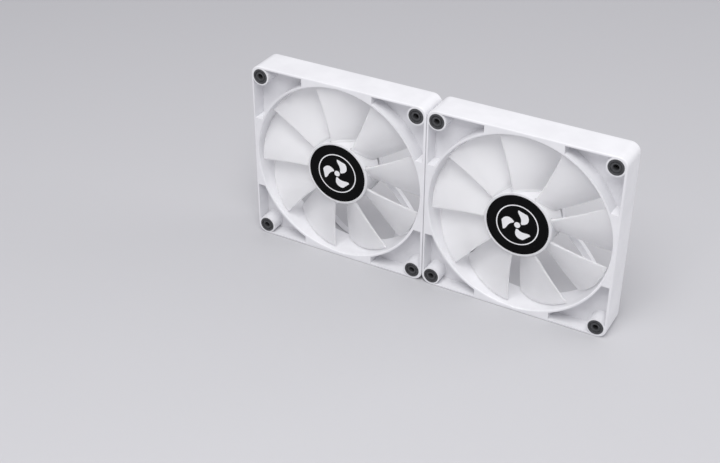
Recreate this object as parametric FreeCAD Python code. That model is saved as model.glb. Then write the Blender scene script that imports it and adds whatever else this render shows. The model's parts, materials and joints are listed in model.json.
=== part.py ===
import FreeCAD, Part
import math
import os

from FreeCAD import Vector

# A bank of two 140 mm axial cooling fans, side by side, standing on its lower edge.
#
# Frame of the part: origin at the bottom centre of the bank, +X along the bank, +Y from the air
# inlet to the back, +Z up.  All sizes are in millimetres.
#
# Each fan is modelled first in its own frame, with its axis along +Y through the origin and y = 0
# at the inlet face; main() then carries it to the left and to the right half of the bank.

# ---------------------------------------------------------------- driving dimensions: frame
FAN_PITCH = 140.0            # from one fan's axis to the other's
FRAME_SIDE = 139.7           # nominal 140, less the moulding clearance between neighbours
FRAME_DEPTH = 25.0
HOLE_PITCH = 124.5           # standard hole spacing of a 140 mm fan
HOLE_RADIUS = 2.15
CORNER_RADIUS = 7.0
WALL = 1.6                   # outer wall of the frame
EDGE_ROUND = 0.9             # rounding of the frame's outer rims
DUCT_RADIUS = 66.6
DUCT_OUTER_RADIUS = 68.5
LIP_ROUND = 0.9              # rounding of the duct's two mouths
POCKET_START = 28.0          # the corner pockets begin this far from the fan's middle
POCKET_DEPTH = 11.5          # from each face, leaving a web between the front and rear pockets
BOSS_RADIUS = 6.7

PAD_RADIUS = 5.6
PAD_SEAT_DEPTH = 1.2
PAD_PROUD = 0.4
PAD_EDGE_ROUND = 0.3
PAD_GROOVE_OUTER = 4.2
PAD_GROOVE_INNER = 3.5
PAD_GROOVE_DEPTH = 0.2
PAD_SLEEVE_RADIUS = 3.0      # each pad's sleeve lines the mouth of its screw hole
PAD_SLEEVE_DEPTH = 6.5

BASE_RADIUS = 25.0
BASE_FRONT = 21.8
BASE_SKIRT_WALL = 1.2
BASE_SOCKET_WALL = 2.0
BASE_SOCKET_HEIGHT = 2.4
BOARD_POST_RADIUS = 1.2
BOARD_POST_CIRCLE = 16.5
BOARD_POST_ANGLES = (20, 140, 210)
REAR_LABEL_RADIUS = 19.0
REAR_LABEL_DEPTH = 0.3
STRUT_FRONT = 21.0
STRUT_BACK = 24.6
STRUT_WIDTH = 4.6
STRUT_EMBED = 1.2            # how far a strut reaches into the duct's wall
LEAD_STRUT_WIDTH = 8.0
STRUT_COUNT = 4
STRUT_ROOT_ANGLE = -7.0      # a strut leaves the motor base at this angle,
STRUT_MIDDLE_ANGLE = -26.0
STRUT_TIP_ANGLE = -36.0      # and meets the duct at this one
LEAD_STRUT_TURN = 270.0      # the strut that ends low on the left carries the lead

# ---------------------------------------------------------------- driving dimensions: rotor
BLADE_COUNT = 9
BLADE_FIRST_ANGLE = 4.0
BLADE_TIP_RADIUS = 65.6
BLADE_STATIONS = (17.0, 27.0, 38.0, 49.0, 60.0, 71.0)
BLADE_LEADING = (8.0, 15.5, 4.0)      # height of the leading edge: start, slope and curve along the span
BLADE_TRAILING = (-8.0, -11.5, 3.5)   # the same for the trailing edge
BLADE_FRONT = (3.0, 1.4)              # depth of the leading edge at the hub, and its growth to the tip
BLADE_BACK = (18.2, 0.6)
BLADE_THICKNESS = (2.2, -1.0)
BLADE_CAMBER = 0.075                  # of the chord
BLADE_BELLY = 1.3                     # mid-chord thickness, as a share of the leading edge's
BLADE_TAIL = 0.7                      # trailing-edge thickness, likewise
BLADE_ROOT_BITE = 1.0                 # how far a blade's root reaches into the hub's wall

HUB_RADIUS = 24.5
HUB_FRONT = 0.5
HUB_BACK = 19.0
HUB_WALL = 1.7
HUB_EDGE_ROUND = 1.4
HUB_LABEL_RADIUS = 22.6
HUB_LABEL_DEPTH = 0.35
HUB_LABEL_THICKNESS = 0.25

YOKE_WALL = 0.8
YOKE_BACK = 18.6
MAGNET_THICKNESS = 1.5
MAGNET_FRONT = 7.0
MAGNET_BACK = 18.4
SHAFT_RADIUS = 1.5
SHAFT_FRONT = 2.4
SHAFT_BACK = 22.7
SHAFT_TIP_ROUND = 0.8
BUSH_RADIUS = 4.2
BUSH_SPIGOT_RADIUS = 2.5
BUSH_BACK = 7.0
CLIP_RADIUS = 3.2
CLIP_GROOVE_RADIUS = 1.2
CLIP_FRONT = 20.4
CLIP_THICKNESS = 0.5
CLIP_SLOT = 1.8

# ---------------------------------------------------------------- driving dimensions: bearing, stator
BEARING_RADIUS = 4.0
BEARING_BORE_RADIUS = 1.53   # 0.03 of running clearance round the shaft
BEARING_FRONT = 9.6
BEARING_BACK = 19.6
TUBE_RADIUS = 5.0
TUBE_FRONT = 8.4
TUBE_BACK = 23.8
THRUST_CAP_FRONT = 22.8

CORE_RADIUS = 20.0           # 0.5 of air gap inside the magnet
CORE_FRONT = 9.5
CORE_BACK = 15.5
CORE_RING_RADIUS = 8.0
SHOE_INNER_RADIUS = 17.2
SLOT_WIDTH = 5.0
NECK_WIDTH = 4.8
POLE_COUNT = 4
BOBBIN_WALL = 0.9
BOBBIN_OUTER = 16.4
WINDING_INNER = 9.0
WINDING_OUTER = 15.5
WINDING_WIDTH = 11.0
WINDING_FRONT = 7.5
WINDING_BACK = 17.6
WINDING_ROUND = 2.0

BOARD_RADIUS = 19.2
BOARD_BORE_RADIUS = 7.6
BOARD_FRONT = 19.4
BOARD_THICKNESS = 1.2
BOARD_CHIPS = {              # distance from the axis, angle, length, width, height
    "hall_sensor": (17.2, 45, 3.0, 3.0, 1.1),
    "driver_chip": (13.0, 135, 4.4, 5.0, 1.3),
    "input_capacitor": (13.5, 315, 2.0, 1.25, 0.8),
    "filter_capacitor": (13.5, 335, 2.0, 1.25, 0.8),
    "resistor": (13.5, 205, 3.2, 1.6, 0.6),
}

# ---------------------------------------------------------------- driving dimensions: lead
RIBBON_WIDTH = 4.6           # four white wires side by side
RIBBON_THICKNESS = 1.2
CHANNEL_WIDTH = 5.2
CHANNEL_FRONT = 22.9
RIBBON_FRONT = 23.1
RIBBON_ROOT_RADIUS = 15.0
WELL_LENGTH = 3.2
GROMMET_X = -43.0
GROMMET_WIDTH = 8.0

# Corners of each free lead's route in the bank's frame, from the grommet to the hank.  The left lead
# comes along the surface and in under its own hank; the right one joins its hank from the side.
LEAD_ROUTES = {
    "left": [
        (-113.0, 12.5, 9.25),
        (-113.0, 23.5, 9.0),
        (-106.5, 34.0, 6.0),
        (-93.0, 36.0, 2.8),
        (-80.5, 29.0, 2.5),
        (-69.0, 21.0, 2.45),
        (-56.0, 18.4, 2.4),
        (-47.0, 20.4, 2.45),
        (-42.0, 23.8, 2.4),
    ],
    "right": [
        (27.0, 12.5, 9.25),
        (27.0, 19.5, 9.15),
        (27.9, 26.3, 9.1),
    ],
}
# The same from each hank to its plug.
TAIL_ROUTES = {
    "left": [
        (13.0, 16.6, 3.7),
        (19.5, 16.6, 3.7),
        (26.0, 17.6, 3.65),
        (32.0, 19.0, 3.0),
        (38.0, 19.8, 2.4),
    ],
    "right": [
        (-32.0, 20.6, 11.2),
        (-27.0, 20.6, 12.7),
        (-21.8, 22.4, 13.9),
        (-16.6, 25.4, 14.5),
        (-10.8, 28.6, 14.3),
        (-3.5, 29.9, 13.9),
    ],
}
ARC_SHARE = 0.45             # of the shorter run beside it, that each arc takes up

# The two hanks have one outline and lie one on the other, behind the corner between the fans.
HANK_LOBE_RADIUS = 14.0      # outside of the loops at the hank's two ends
HANK_LOBE_OFFSET = 22.0      # their centres, from the hank's middle
HANK_WAIST = 5.5             # half the hank's width at its middle
HANK_HEIGHT = 4.8
HANK_X = -7.5
HANK_GAP = 3.0               # from the rear pads to the hanks
HANK_LIFT = 1.3              # the left lead runs under its hank
TIE_WIDTH = 5.0
TIE_THICKNESS = 0.6
TIE_REACH = 7.3              # half the tie's length across the hank
TIE_OFFSETS = {"left": 4.0, "right": -4.0}

PLUG_LENGTH = 12.6
PLUG_WIDTH = 10.4
PLUG_BODY_THICKNESS = 4.8
PLUG_RIB_HEIGHT = 1.0
PLUG_RIB_WIDTH = 1.2
PLUG_RIB_OFFSETS = (-3.4, 0.6)
PLUG_RIB_INSET = 2.0
PLUG_BACK_WALL = 1.0
PIN_PITCH = 2.54
PIN_COUNT = 4
PIN_HOLE = 1.7
CONTACT_LENGTH = 9.0
CONTACT_WALL = 0.25

# ---------------------------------------------------------------- worked out from them
HALF_SIDE = FRAME_SIDE / 2
HALF_HOLES = HOLE_PITCH / 2
AXIS_HEIGHT = HALF_SIDE
BACK_Y = FRAME_DEPTH / 2
FRONT_Y = -BACK_Y
INSIDE = HALF_SIDE - WALL
YOKE_RADIUS = HUB_RADIUS - HUB_WALL
YOKE_FRONT = HUB_FRONT + HUB_WALL
MAGNET_RADIUS = YOKE_RADIUS - YOKE_WALL
RIBBON_BACK = RIBBON_FRONT + RIBBON_THICKNESS
BOARD_BACK = BOARD_FRONT + BOARD_THICKNESS
LEAD_RADIUS = RIBBON_WIDTH / 2
HANK_Y = BACK_Y + PAD_PROUD + HANK_GAP + HANK_LOBE_RADIUS
HANK_BASES = {"left": HANK_LIFT, "right": HANK_LIFT + HANK_HEIGHT + TIE_THICKNESS}
PLUG_BASES = {"left": 0.0, "right": HANK_BASES["right"] + HANK_HEIGHT}
HANK_WAIST_RADIUS = (
    (HANK_LOBE_OFFSET ** 2 + HANK_WAIST ** 2 - HANK_LOBE_RADIUS ** 2)
    / (2 * (HANK_LOBE_RADIUS - HANK_WAIST))
)
CORNERS = [(sx * HALF_HOLES, sz * HALF_HOLES) for sx in (-1, 1) for sz in (-1, 1)]
SIDES = {"left": -FAN_PITCH / 2, "right": FAN_PITCH / 2}
ORIGIN = Vector(0, 0, 0)
ALONG = Vector(0, 1, 0)


# ---------------------------------------------------------------- small helpers
def disc(radius, front, back, x=0.0, z=0.0):
    """A cylinder along the fan's axis."""
    return Part.makeCylinder(radius, back - front, Vector(x, front, z), ALONG)


def ring(outer, inner, front, back, x=0.0, z=0.0):
    """A tube along the fan's axis."""
    return disc(outer, front, back, x, z).cut(disc(inner, front, back, x, z))


def box(x0, x1, y0, y1, z0, z1):
    return Part.makeBox(x1 - x0, y1 - y0, z1 - z0, Vector(x0, y0, z0))


def turned(shape, degrees):
    """A copy turned about the fan's axis, counter-clockwise as seen from the inlet."""
    copy = shape.copy()
    copy.rotate(ORIGIN, Vector(0, -1, 0), degrees)
    return copy


def polar(radius, degrees, y=0.0):
    """The point at that radius and angle, counter-clockwise from +X as seen from the inlet."""
    angle = math.radians(degrees)
    return Vector(radius * math.cos(angle), y, radius * math.sin(angle))


def rounded_prism(half, radius, front, back):
    """A square prism along the fan's axis, with its four long edges rounded."""
    block = box(-half, half, front, back, -half, half)
    long_edges = [e for e in block.Edges if abs(e.Vertexes[0].Y - e.Vertexes[1].Y) > 1e-6]
    return block.makeFillet(radius, long_edges)


def edges_at(shape, y):
    """The edges that lie in the plane across the fan's axis at y."""
    return [e for e in shape.Edges if all(abs(v.Y - y) < 1e-6 for v in e.Vertexes)]


def fused(shapes):
    return shapes[0].multiFuse(shapes[1:]).removeSplitter()


def lines_and_arcs(start, steps):
    """A closed wire: a one-point step is a straight line, a two-point step an arc through the first."""
    edges = []
    here = start
    for step in steps:
        if len(step) == 1:
            edges.append(Part.LineSegment(here, step[0]).toShape())
        else:
            edges.append(Part.Arc(here, step[0], step[1]).toShape())
        here = step[-1]
    return Part.Wire(edges)


# ---------------------------------------------------------------- frame
def duct_cutter():
    """The round air path, with both mouths rounded outwards."""
    rim = DUCT_RADIUS + LIP_ROUND
    bulge = LIP_ROUND * (1 - math.sqrt(0.5))
    outline = lines_and_arcs(ORIGIN, [
        [Vector(rim, 0, 0)],
        [Vector(DUCT_RADIUS + bulge, bulge, 0), Vector(DUCT_RADIUS, LIP_ROUND, 0)],
        [Vector(DUCT_RADIUS, FRAME_DEPTH - LIP_ROUND, 0)],
        [Vector(DUCT_RADIUS + bulge, FRAME_DEPTH - bulge, 0), Vector(rim, FRAME_DEPTH, 0)],
        [Vector(0, FRAME_DEPTH, 0)],
        [ORIGIN],
    ])
    return Part.Face(outline).revolve(ORIGIN, ALONG, 360)


def pocket_cutters(front, back):
    """The four hollows between the duct, the outer walls and the screw bosses."""
    hollow = rounded_prism(INSIDE, CORNER_RADIUS - WALL, front, back)
    keep = [disc(DUCT_OUTER_RADIUS, front, back)]
    keep += [disc(BOSS_RADIUS, front, back, x, z) for x, z in CORNERS]
    keep.append(box(-POCKET_START, POCKET_START, front, back, -INSIDE, INSIDE))
    keep.append(box(-INSIDE, INSIDE, front, back, -POCKET_START, POCKET_START))
    return hollow.cut(fused(keep))


def strut_band(width, front, back, inner, outer):
    """A curved bar from the motor base to the duct, before it is turned to its place."""
    stations = [
        polar(inner, STRUT_ROOT_ANGLE, front),
        polar((inner + outer) / 2, STRUT_MIDDLE_ANGLE, front),
        polar(outer, STRUT_TIP_ANGLE, front),
    ]
    root, middle, tip = stations
    upper, lower = [], []
    for point, flow in zip(stations, (middle - root, tip - root, tip - middle)):
        across = Vector(-flow.z, 0, flow.x).normalize() * (width / 2)
        upper.append(point + across)
        lower.append(point - across)
    outline = lines_and_arcs(upper[0], [
        [upper[1], upper[2]],
        [lower[2]],
        [lower[1], lower[0]],
        [upper[0]],
    ])
    return Part.Face(outline).extrude(Vector(0, back - front, 0))


def strut(width):
    return strut_band(width, STRUT_FRONT, STRUT_BACK, BASE_RADIUS - EDGE_ROUND, DUCT_RADIUS + STRUT_EMBED)


def lead_band(width, front, back, outer):
    """A band along the curve that the lead follows behind its strut."""
    return turned(strut_band(width, front, back, RIBBON_ROOT_RADIUS, outer), LEAD_STRUT_TURN)


def motor_base():
    """The plate behind the motor, with the socket for the bearing tube and posts for the board."""
    plate = disc(BASE_RADIUS, BASE_FRONT, FRAME_DEPTH)
    plate = plate.makeFillet(EDGE_ROUND, edges_at(plate, FRAME_DEPTH))
    socket = disc(TUBE_RADIUS + BASE_SOCKET_WALL, BASE_FRONT - BASE_SOCKET_HEIGHT, BASE_FRONT)
    skirt = ring(BASE_RADIUS, BASE_RADIUS - BASE_SKIRT_WALL, BASE_FRONT - BASE_SKIRT_WALL, BASE_FRONT)
    posts = []
    for angle in BOARD_POST_ANGLES:
        foot = polar(BOARD_POST_CIRCLE, angle)
        posts.append(disc(BOARD_POST_RADIUS, BOARD_BACK, BASE_FRONT, foot.x, foot.z))
    return [plate, socket, skirt] + posts


def lead_well():
    """The hole in the motor base through which the wires come from the board."""
    half = WELL_LENGTH / 2
    well = box(RIBBON_ROOT_RADIUS - half, RIBBON_ROOT_RADIUS + half, BASE_FRONT, FRAME_DEPTH,
               -CHANNEL_WIDTH / 2, CHANNEL_WIDTH / 2)
    return turned(well, STRUT_ROOT_ANGLE + LEAD_STRUT_TURN)


def frame():
    """The one-piece moulding: walls, duct, corner bosses, struts and motor base."""
    shell = rounded_prism(HALF_SIDE, CORNER_RADIUS, 0, FRAME_DEPTH)
    shell = shell.makeFillet(EDGE_ROUND, edges_at(shell, 0) + edges_at(shell, FRAME_DEPTH))
    shell = shell.cut(duct_cutter())
    shell = shell.cut(pocket_cutters(0, POCKET_DEPTH))
    shell = shell.cut(pocket_cutters(FRAME_DEPTH - POCKET_DEPTH, FRAME_DEPTH))

    turns = [360.0 / STRUT_COUNT * k for k in range(STRUT_COUNT)]
    struts = [turned(strut(STRUT_WIDTH), t) for t in turns if t != LEAD_STRUT_TURN]
    struts.append(turned(strut(LEAD_STRUT_WIDTH), LEAD_STRUT_TURN))
    body = fused([shell] + struts + motor_base())

    cutters = [
        disc(TUBE_RADIUS, BASE_FRONT - BASE_SOCKET_HEIGHT, TUBE_BACK),
        disc(REAR_LABEL_RADIUS, FRAME_DEPTH - REAR_LABEL_DEPTH, FRAME_DEPTH),
        lead_band(CHANNEL_WIDTH, CHANNEL_FRONT, FRAME_DEPTH, DUCT_OUTER_RADIUS + LEAD_RADIUS),
        lead_well(),
    ]
    for x, z in CORNERS:
        cutters.append(disc(HOLE_RADIUS, 0, FRAME_DEPTH, x, z))
        cutters.append(disc(PAD_RADIUS, 0, PAD_SEAT_DEPTH, x, z))
        cutters.append(disc(PAD_RADIUS, FRAME_DEPTH - PAD_SEAT_DEPTH, FRAME_DEPTH, x, z))
        cutters.append(disc(PAD_SLEEVE_RADIUS, 0, PAD_SLEEVE_DEPTH, x, z))
        cutters.append(disc(PAD_SLEEVE_RADIUS, FRAME_DEPTH - PAD_SLEEVE_DEPTH, FRAME_DEPTH, x, z))
    for cutter in cutters:
        body = body.cut(cutter)
    return body


# ---------------------------------------------------------------- corner pads
def corner_pads(face, seat, tip):
    """Four rubber rings from y = face to y = seat, each with a sleeve on to y = tip, a rounded rim and a
    shallow ring groove."""
    inward = PAD_GROOVE_DEPTH if seat > face else -PAD_GROOVE_DEPTH
    groove = sorted((face, face + inward))
    pads = []
    for x, z in CORNERS:
        pad = ring(PAD_RADIUS, HOLE_RADIUS, *sorted((face, seat)), x, z)
        rims = [e for e in edges_at(pad, face) if abs(e.Curve.Radius - PAD_RADIUS) < 1e-6]
        pad = pad.makeFillet(PAD_EDGE_ROUND, rims)
        pad = pad.cut(ring(PAD_GROOVE_OUTER, PAD_GROOVE_INNER, *groove, x, z))
        sleeve = ring(PAD_SLEEVE_RADIUS, HOLE_RADIUS, *sorted((seat, tip)), x, z)
        pads.append(fused([pad, sleeve]))
    return Part.makeCompound(pads)


def front_pads():
    return corner_pads(-PAD_PROUD, PAD_SEAT_DEPTH, PAD_SLEEVE_DEPTH)


def rear_pads():
    return corner_pads(FRAME_DEPTH + PAD_PROUD, FRAME_DEPTH - PAD_SEAT_DEPTH,
                       FRAME_DEPTH - PAD_SLEEVE_DEPTH)


# ---------------------------------------------------------------- rotor
def along_span(curve, share):
    """The value of a start, slope and curve at a share of the span."""
    return sum(c * share ** power for power, c in enumerate(curve))


def blade_section(x):
    """The closed outline of a blade at distance x from the axis, in the plane across the radius."""
    share = (x - HUB_RADIUS) / (BLADE_TIP_RADIUS - HUB_RADIUS)
    lead_edge = Vector(x, along_span(BLADE_FRONT, share), along_span(BLADE_LEADING, share))
    trail_edge = Vector(x, along_span(BLADE_BACK, share), along_span(BLADE_TRAILING, share))
    chord = trail_edge - lead_edge
    along = Vector(chord).normalize()
    normal = Vector(0, along.z, -along.y)
    half = along_span(BLADE_THICKNESS, share) / 2
    tail = half * BLADE_TAIL
    middle = (lead_edge + trail_edge) * 0.5 + normal * (BLADE_CAMBER * chord.Length)
    outline = lines_and_arcs(lead_edge + normal * half, [
        [middle + normal * (half * BLADE_BELLY), trail_edge + normal * tail],
        [trail_edge + along * tail, trail_edge - normal * tail],
        [middle - normal * (half * BLADE_BELLY), lead_edge - normal * half],
        [lead_edge - along * half, lead_edge + normal * half],
    ])
    return outline


def blade():
    """One swept, cambered blade, trimmed to run inside the duct and to end inside the hub's wall."""
    whole = Part.makeLoft([blade_section(x) for x in BLADE_STATIONS], True, False)
    return whole.common(ring(BLADE_TIP_RADIUS, HUB_RADIUS - BLADE_ROOT_BITE, 0, FRAME_DEPTH))


def impeller():
    """Hub cup and blades, moulded in one."""
    cup = disc(HUB_RADIUS, HUB_FRONT, HUB_BACK)
    cup = cup.makeFillet(HUB_EDGE_ROUND, edges_at(cup, HUB_FRONT))
    cup = cup.cut(disc(YOKE_RADIUS, YOKE_FRONT, HUB_BACK))
    cup = cup.cut(disc(HUB_LABEL_RADIUS, HUB_FRONT, HUB_FRONT + HUB_LABEL_DEPTH))
    one = blade()
    step = 360.0 / BLADE_COUNT
    return cup.multiFuse([turned(one, BLADE_FIRST_ANGLE + step * k) for k in range(BLADE_COUNT)])


def hub_label():
    back = HUB_FRONT + HUB_LABEL_DEPTH
    return disc(HUB_LABEL_RADIUS, back - HUB_LABEL_THICKNESS, back)


def rotor_yoke():
    """The steel cup pressed into the hub, with a hole for the bush's spigot."""
    cup = disc(YOKE_RADIUS, YOKE_FRONT, YOKE_BACK)
    cup = cup.cut(disc(MAGNET_RADIUS, YOKE_FRONT + YOKE_WALL, YOKE_BACK))
    return cup.cut(disc(BUSH_SPIGOT_RADIUS, YOKE_FRONT, YOKE_FRONT + YOKE_WALL))


def magnet_ring():
    return ring(MAGNET_RADIUS, MAGNET_RADIUS - MAGNET_THICKNESS, MAGNET_FRONT, MAGNET_BACK)


def shaft_bush():
    flange = disc(BUSH_RADIUS, YOKE_FRONT + YOKE_WALL, BUSH_BACK)
    spigot = disc(BUSH_SPIGOT_RADIUS, YOKE_FRONT, YOKE_FRONT + YOKE_WALL)
    return fused([flange, spigot]).cut(disc(SHAFT_RADIUS, SHAFT_FRONT, BUSH_BACK))


def shaft():
    rod = disc(SHAFT_RADIUS, SHAFT_FRONT, SHAFT_BACK)
    rod = rod.makeFillet(SHAFT_TIP_ROUND, edges_at(rod, SHAFT_BACK))
    groove = ring(SHAFT_RADIUS, CLIP_GROOVE_RADIUS, CLIP_FRONT, CLIP_FRONT + CLIP_THICKNESS)
    return rod.cut(groove)


def retaining_clip():
    """The split washer that snaps into the shaft's groove behind the bearing."""
    back = CLIP_FRONT + CLIP_THICKNESS
    washer = ring(CLIP_RADIUS, CLIP_GROOVE_RADIUS, CLIP_FRONT, back)
    return washer.cut(box(0, CLIP_RADIUS, CLIP_FRONT, back, -CLIP_SLOT / 2, CLIP_SLOT / 2))


# ---------------------------------------------------------------- bearing and stator
def bearing_tube():
    return ring(TUBE_RADIUS, BEARING_RADIUS, TUBE_FRONT, TUBE_BACK)


def sleeve_bearing():
    return ring(BEARING_RADIUS, BEARING_BORE_RADIUS, BEARING_FRONT, BEARING_BACK)


def thrust_cap():
    return disc(BEARING_RADIUS, THRUST_CAP_FRONT, TUBE_BACK)


def at_each_pole(shape, first=0.0):
    return [turned(shape, first + 360.0 / POLE_COUNT * k) for k in range(POLE_COUNT)]


def stator_core():
    """A stack with four T-shaped poles on a ring round the bearing tube."""
    middle = ring(CORE_RING_RADIUS, TUBE_RADIUS, CORE_FRONT, CORE_BACK)
    shoes = ring(CORE_RADIUS, SHOE_INNER_RADIUS, CORE_FRONT, CORE_BACK)
    slot = box(0, CORE_RADIUS, CORE_FRONT, CORE_BACK, -SLOT_WIDTH / 2, SLOT_WIDTH / 2)
    for gap in at_each_pole(slot, 180.0 / POLE_COUNT):
        shoes = shoes.cut(gap)
    neck = box(TUBE_RADIUS + 1.0, (SHOE_INNER_RADIUS + CORE_RADIUS) / 2, CORE_FRONT, CORE_BACK,
               -NECK_WIDTH / 2, NECK_WIDTH / 2)
    return fused([middle, shoes] + at_each_pole(neck))


def stator_bobbin():
    """The plastic insulator: a sleeve round each pole's neck and a ring at each end of the stack."""
    half = NECK_WIDTH / 2 + BOBBIN_WALL
    front, back = CORE_FRONT - BOBBIN_WALL, CORE_BACK + BOBBIN_WALL
    sleeve = box(TUBE_RADIUS + 1.0, BOBBIN_OUTER, front, back, -half, half)
    flange = box(WINDING_OUTER, BOBBIN_OUTER, WINDING_FRONT, WINDING_BACK,
                 -WINDING_WIDTH / 2, WINDING_WIDTH / 2)
    ends = ring(CORE_RING_RADIUS, TUBE_RADIUS, front, back)
    return fused([ends] + at_each_pole(sleeve) + at_each_pole(flange)).cut(stator_core())


def stator_windings():
    """One coil of copper wire round each neck."""
    half = NECK_WIDTH / 2 + BOBBIN_WALL
    coil = box(WINDING_INNER, WINDING_OUTER, WINDING_FRONT, WINDING_BACK,
               -WINDING_WIDTH / 2, WINDING_WIDTH / 2)
    radial_edges = [e for e in coil.Edges if abs(e.Vertexes[0].X - e.Vertexes[1].X) > 1e-6]
    coil = coil.makeFillet(WINDING_ROUND, radial_edges)
    coil = coil.cut(box(WINDING_INNER, WINDING_OUTER, CORE_FRONT - BOBBIN_WALL,
                        CORE_BACK + BOBBIN_WALL, -half, half))
    return Part.makeCompound(at_each_pole(coil))


def circuit_board():
    return ring(BOARD_RADIUS, BOARD_BORE_RADIUS, BOARD_FRONT, BOARD_BACK)


def board_parts():
    """The chips on the board's motor side."""
    chips = []
    for radius, angle, length, width, height in BOARD_CHIPS.values():
        body = box(radius - length / 2, radius + length / 2, BOARD_FRONT - height, BOARD_FRONT,
                   -width / 2, width / 2)
        chips.append(turned(body, angle))
    return Part.makeCompound(chips)


def rear_label():
    front = FRAME_DEPTH - REAR_LABEL_DEPTH
    return disc(REAR_LABEL_RADIUS - 0.1, front, front + REAR_LABEL_DEPTH / 2)


# ---------------------------------------------------------------- lead, where the fan holds it
def lead_grommet():
    """The soft block pushed into the lower left rear pocket, which holds the lead and lets it out."""
    half = GROMMET_WIDTH / 2
    block = box(GROMMET_X - half, GROMMET_X + half, FRAME_DEPTH - POCKET_DEPTH, FRAME_DEPTH,
                -INSIDE, -POCKET_START)
    return block.cut(disc(DUCT_OUTER_RADIUS, FRAME_DEPTH - POCKET_DEPTH, FRAME_DEPTH))


def lead_root():
    """The flat lead where the frame holds it: from the board, then along its strut to the grommet."""
    half = RIBBON_THICKNESS / 2
    riser = box(RIBBON_ROOT_RADIUS - half, RIBBON_ROOT_RADIUS + half, BOARD_BACK, RIBBON_BACK,
                -RIBBON_WIDTH / 2, RIBBON_WIDTH / 2)
    riser = turned(riser, STRUT_ROOT_ANGLE + LEAD_STRUT_TURN)
    run = lead_band(RIBBON_WIDTH, RIBBON_FRONT, RIBBON_BACK, DUCT_OUTER_RADIUS + LEAD_RADIUS)
    return fused([riser, run]).cut(lead_grommet())


# ---------------------------------------------------------------- lead, free behind the fan
def tube(route, radius):
    """A round tube along straight runs joined by tangent arcs; prints its length and the arcs' radii."""
    route = [Vector(*corner) for corner in route]
    edges, radii = [], []
    start = route[0]
    for before, corner, after in zip(route, route[1:], route[2:]):
        inward, outward = before - corner, after - corner
        reach = ARC_SHARE * min(inward.Length, outward.Length)
        turn = math.pi - inward.getAngle(outward)
        arc_radius = reach / math.tan(turn / 2)
        inward.normalize()
        outward.normalize()
        bisector = (inward + outward).normalize()
        middle = corner + bisector * (arc_radius / math.cos(turn / 2) - arc_radius)
        edges.append(Part.LineSegment(start, corner + inward * reach).toShape())
        edges.append(Part.Arc(corner + inward * reach, middle, corner + outward * reach).toShape())
        radii.append(arc_radius)
        start = corner + outward * reach
    edges.append(Part.LineSegment(start, route[-1]).toShape())
    path = Part.Wire(edges)
    section = Part.Wire([Part.makeCircle(radius, route[0], route[1] - route[0])])
    solid = path.makePipeShell([section], True, True)
    share = solid.Volume / (math.pi * radius ** 2 * path.Length)
    print("lead run", round(path.Length, 1), "mm, radii", [round(r, 1) for r in radii],
          "volume share", round(share, 4))
    return solid


def lead(side):
    """The free lead outside the hanks: the run to its hank and the short tail to its plug."""
    others = fused([lead_hank(any_side) for any_side in SIDES] + [lead_tie(side), lead_plug(side)])
    solids = []
    for routes in (LEAD_ROUTES, TAIL_ROUTES):
        solids += tube(routes[side], LEAD_RADIUS).cut(others).Solids
    return Part.makeCompound(solids)


def lead_hank(side):
    """The outer shape of the lead's tied hank: two round loops with a drawn-in waist between them."""
    lift = Vector(HANK_X, HANK_Y, HANK_BASES[side])
    touch_x = HANK_LOBE_OFFSET * HANK_WAIST_RADIUS / (HANK_LOBE_RADIUS + HANK_WAIST_RADIUS)
    waist_centre = HANK_WAIST + HANK_WAIST_RADIUS
    touch_y = waist_centre * HANK_LOBE_RADIUS / (HANK_LOBE_RADIUS + HANK_WAIST_RADIUS)
    reach = HANK_LOBE_OFFSET + HANK_LOBE_RADIUS

    def at(x, y):
        return lift + Vector(x, y, 0)

    outline = lines_and_arcs(at(-touch_x, touch_y), [
        [at(0, HANK_WAIST), at(touch_x, touch_y)],
        [at(reach, 0), at(touch_x, -touch_y)],
        [at(0, -HANK_WAIST), at(-touch_x, -touch_y)],
        [at(-reach, 0), at(-touch_x, touch_y)],
    ])
    return Part.Face(outline).extrude(Vector(0, 0, HANK_HEIGHT))


def lead_tie(side):
    """The band round the hank, close to its middle."""
    x0 = HANK_X + TIE_OFFSETS[side] - TIE_WIDTH / 2
    base = HANK_BASES[side]
    band = box(x0, x0 + TIE_WIDTH, HANK_Y - TIE_REACH, HANK_Y + TIE_REACH,
               base - TIE_THICKNESS, base + HANK_HEIGHT + TIE_THICKNESS)
    return band.cut(lead_hank(side))


def plug_place(side):
    """The middle of the plug's cable end, on what it lies on."""
    x, y, _ = TAIL_ROUTES[side][-1]
    return Vector(x, y, PLUG_BASES[side])


def pin_rows(side):
    """The y of each pin hole's middle."""
    first = plug_place(side).y - PIN_PITCH * (PIN_COUNT - 1) / 2
    return [first + PIN_PITCH * k for k in range(PIN_COUNT)]


def lead_plug(side):
    """A four-way socket housing with two polarising ribs."""
    place = plug_place(side)
    x1 = place.x + PLUG_LENGTH
    middle = place.z + PLUG_BODY_THICKNESS / 2
    top = place.z + PLUG_BODY_THICKNESS
    half = PIN_HOLE / 2
    shapes = [box(place.x, x1, place.y - PLUG_WIDTH / 2, place.y + PLUG_WIDTH / 2, place.z, top)]
    for offset in PLUG_RIB_OFFSETS:
        y0 = place.y + offset - PLUG_RIB_WIDTH / 2
        shapes.append(box(place.x + PLUG_RIB_INSET, x1, y0, y0 + PLUG_RIB_WIDTH,
                          middle + PIN_HOLE, top + PLUG_RIB_HEIGHT))
    housing = fused(shapes)
    for y in pin_rows(side):
        housing = housing.cut(box(place.x + PLUG_BACK_WALL, x1, y - half, y + half,
                                  middle - half, middle + half))
    return housing


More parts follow.
